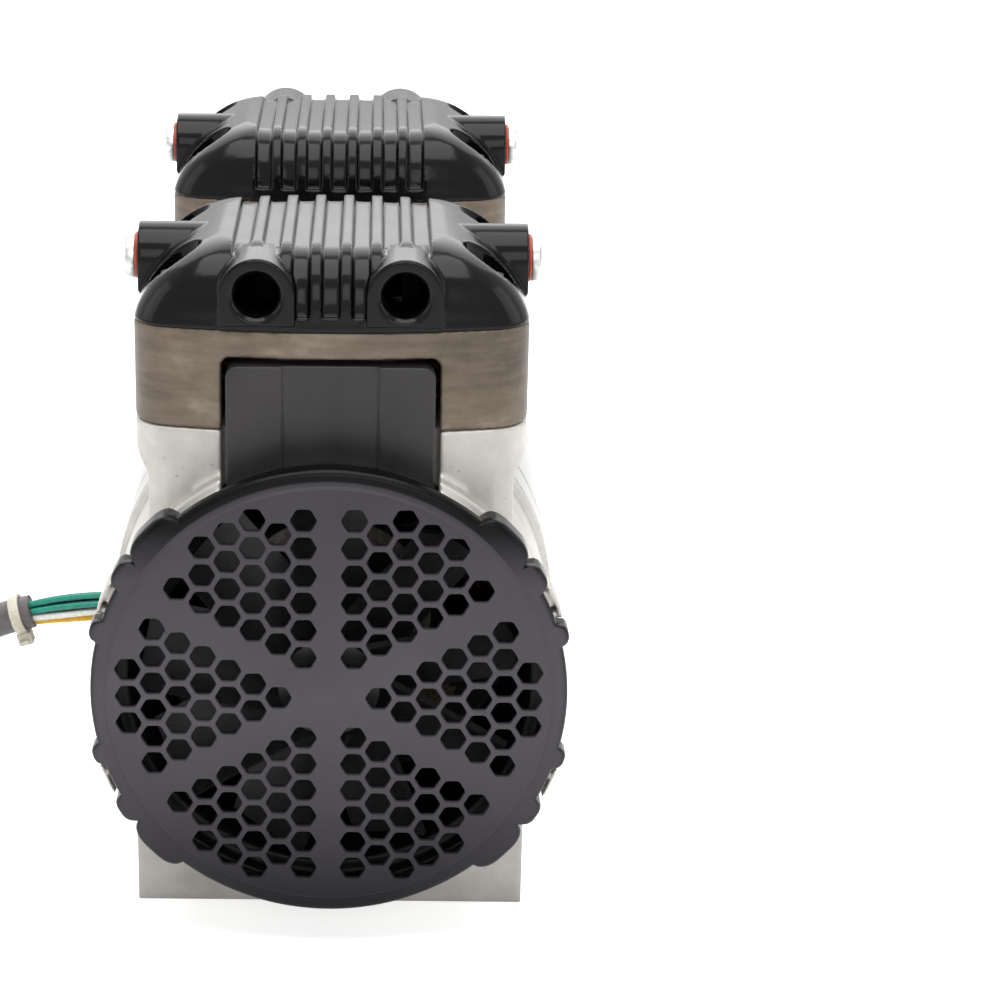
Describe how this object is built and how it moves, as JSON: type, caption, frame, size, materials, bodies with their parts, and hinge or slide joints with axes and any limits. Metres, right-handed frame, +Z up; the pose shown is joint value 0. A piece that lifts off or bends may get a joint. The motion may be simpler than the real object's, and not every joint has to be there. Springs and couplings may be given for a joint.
{
  "type": "oil-free air compressor",
  "caption": "Oil-free air compressor: a brushless motor between two rocking-piston pumps with finned heads, threaded ports and perforated fan covers",
  "frame": {"origin": "centre of the footprint on the surface that the feet stand on, without the lead", "axes": "+Z up, +Y along the shaft from the front pump to the rear one, +X to the right seen from the front"},
  "size_m": [0.361, 0.292, 0.212],
  "materials": {
    "cover_plastic": "dark moulded nylon, lightly textured",
    "duct_plastic": "dark moulded plastic, smooth",
    "cast_aluminium": "raw die casting",
    "anodised_aluminium": "hard anodised, brown-grey",
    "black_paint": "gloss black coating",
    "zinc_steel": "zinc plated",
    "bright_steel": "ground bearing steel",
    "spring_steel": "polished strip",
    "red_sealant": "thread sealant ring",
    "seal_rubber": "black rubber",
    "gasket_fibre": "pressed fibre sheet",
    "rod_aluminium": "machined casting",
    "cup_ptfe": "bronze-filled fluoropolymer",
    "eccentric_iron": "sintered, oiled",
    "fan_plastic": "black moulded plastic",
    "magnet": "nickel plated magnet",
    "lamination_steel": "electrical steel stack",
    "winding_copper": "enamelled copper wire",
    "board_laminate": "glass-epoxy board",
    "shell_aluminium": "turned and blasted",
    "wire_insulation": "insulated stranded wires in several colours",
    "sleeve": "dark grey braided sleeve",
    "tie_nylon": "natural nylon",
    "connector_nylon": "moulded nylon"
  },
  "bodies": {
    "compressor body": {"cable_connector": "connector_nylon", "cable_loop": "sleeve", "cable_sleeve": "sleeve", "cable_tie": "tie_nylon", "cylinder_seals": "seal_rubber", "front_air_duct": "duct_plastic", "front_crankcase": "cast_aluminium", "front_cylinder_block": "anodised_aluminium", "front_fan_cover": "cover_plastic", "front_head": "black_paint", "front_valve_plate": "spring_steel", "hall_sensor_board": "board_laminate", "head_gaskets": "gasket_fibre", "head_screws": "zinc_steel", "main_bearing_outer_rings": "bright_steel", "motor_leads": "wire_insulation", "motor_shell": "shell_aluminium", "port_plug_seals": "red_sealant", "port_plugs": "zinc_steel", "rear_air_duct": "duct_plastic", "rear_crankcase": "cast_aluminium", "rear_cylinder_block": "anodised_aluminium", "rear_fan_cover": "cover_plastic", "rear_head": "black_paint", "rear_valve_plate": "spring_steel", "stator_coils": "winding_copper", "stator_core": "lamination_steel", "tie_bolts": "zinc_steel", "valve_stops": "spring_steel", "wire_grommet": "seal_rubber"},
    "rotor": {"shaft": "bright_steel", "rotor_core": "lamination_steel", "rotor_magnets": "magnet", "main_bearing_inner_rings": "bright_steel", "rod_bearing_inner_rings": "bright_steel", "front_eccentric": "eccentric_iron", "rear_eccentric": "eccentric_iron", "eccentric_set_screws": "bright_steel", "front_fan": "fan_plastic", "rear_fan": "fan_plastic", "fan_clips": "bright_steel", "fan_spacers": "bright_steel"},
    "front rod": {"front_rod": "rod_aluminium", "front_rod_bearing_outer_ring": "bright_steel", "front_piston_cup": "cup_ptfe", "front_cup_retainer": "rod_aluminium", "front_retainer_screw": "bright_steel"},
    "rear rod": {"rear_rod": "rod_aluminium", "rear_rod_bearing_outer_ring": "bright_steel", "rear_piston_cup": "cup_ptfe", "rear_cup_retainer": "rod_aluminium", "rear_retainer_screw": "bright_steel"},
    "front intake reed": {"front_intake_reed": "spring_steel"},
    "front discharge reed": {"front_discharge_reed": "spring_steel"},
    "rear intake reed": {"rear_intake_reed": "spring_steel"},
    "rear discharge reed": {"rear_discharge_reed": "spring_steel"}
  },
  "joints": [
    {"name": "shaft_spin", "type": "hinge", "parent": "compressor body", "child": "rotor", "pos_m": [0, 0, 0.083], "axis": [0, 1, 0], "continuous": true},
    {"name": "front_rod_orbit", "type": "hinge", "parent": "rotor", "child": "front rod", "pos_m": [0, -0.082, 0.088], "axis": [0, 1, 0], "continuous": true, "deforming": ["front_piston_cup"]},
    {"name": "rear_rod_orbit", "type": "hinge", "parent": "rotor", "child": "rear rod", "pos_m": [0, 0.082, 0.078], "axis": [0, 1, 0], "continuous": true, "deforming": ["rear_piston_cup"]},
    {"name": "front_intake_reed_bend", "type": "hinge", "parent": "compressor body", "child": "front intake reed", "pos_m": [-0.014, -0.103, 0.189], "axis": [-1, 0, 0], "range_deg": [0, 1.3], "stiffness_Nm_per_rad": 0.02, "springref_deg": -2.86},
    {"name": "front_discharge_reed_bend", "type": "hinge", "parent": "compressor body", "child": "front discharge reed", "pos_m": [0.014, -0.103, 0.193], "axis": [1, 0, 0], "range_deg": [0, 4], "stiffness_Nm_per_rad": 0.02, "springref_deg": -2.86},
    {"name": "rear_intake_reed_bend", "type": "hinge", "parent": "compressor body", "child": "rear intake reed", "pos_m": [-0.014, 0.103, 0.189], "axis": [1, 0, 0], "range_deg": [0, 1.3], "stiffness_Nm_per_rad": 0.02, "springref_deg": -2.86},
    {"name": "rear_discharge_reed_bend", "type": "hinge", "parent": "compressor body", "child": "rear discharge reed", "pos_m": [0.014, 0.103, 0.193], "axis": [-1, 0, 0], "range_deg": [0, 4], "stiffness_Nm_per_rad": 0.02, "springref_deg": -2.86}
  ],
  "couplings": [
    {"joint": "front_rod_orbit", "follows": "shaft_spin", "ratio": -1},
    {"joint": "rear_rod_orbit", "follows": "shaft_spin", "ratio": -1}
  ]
}
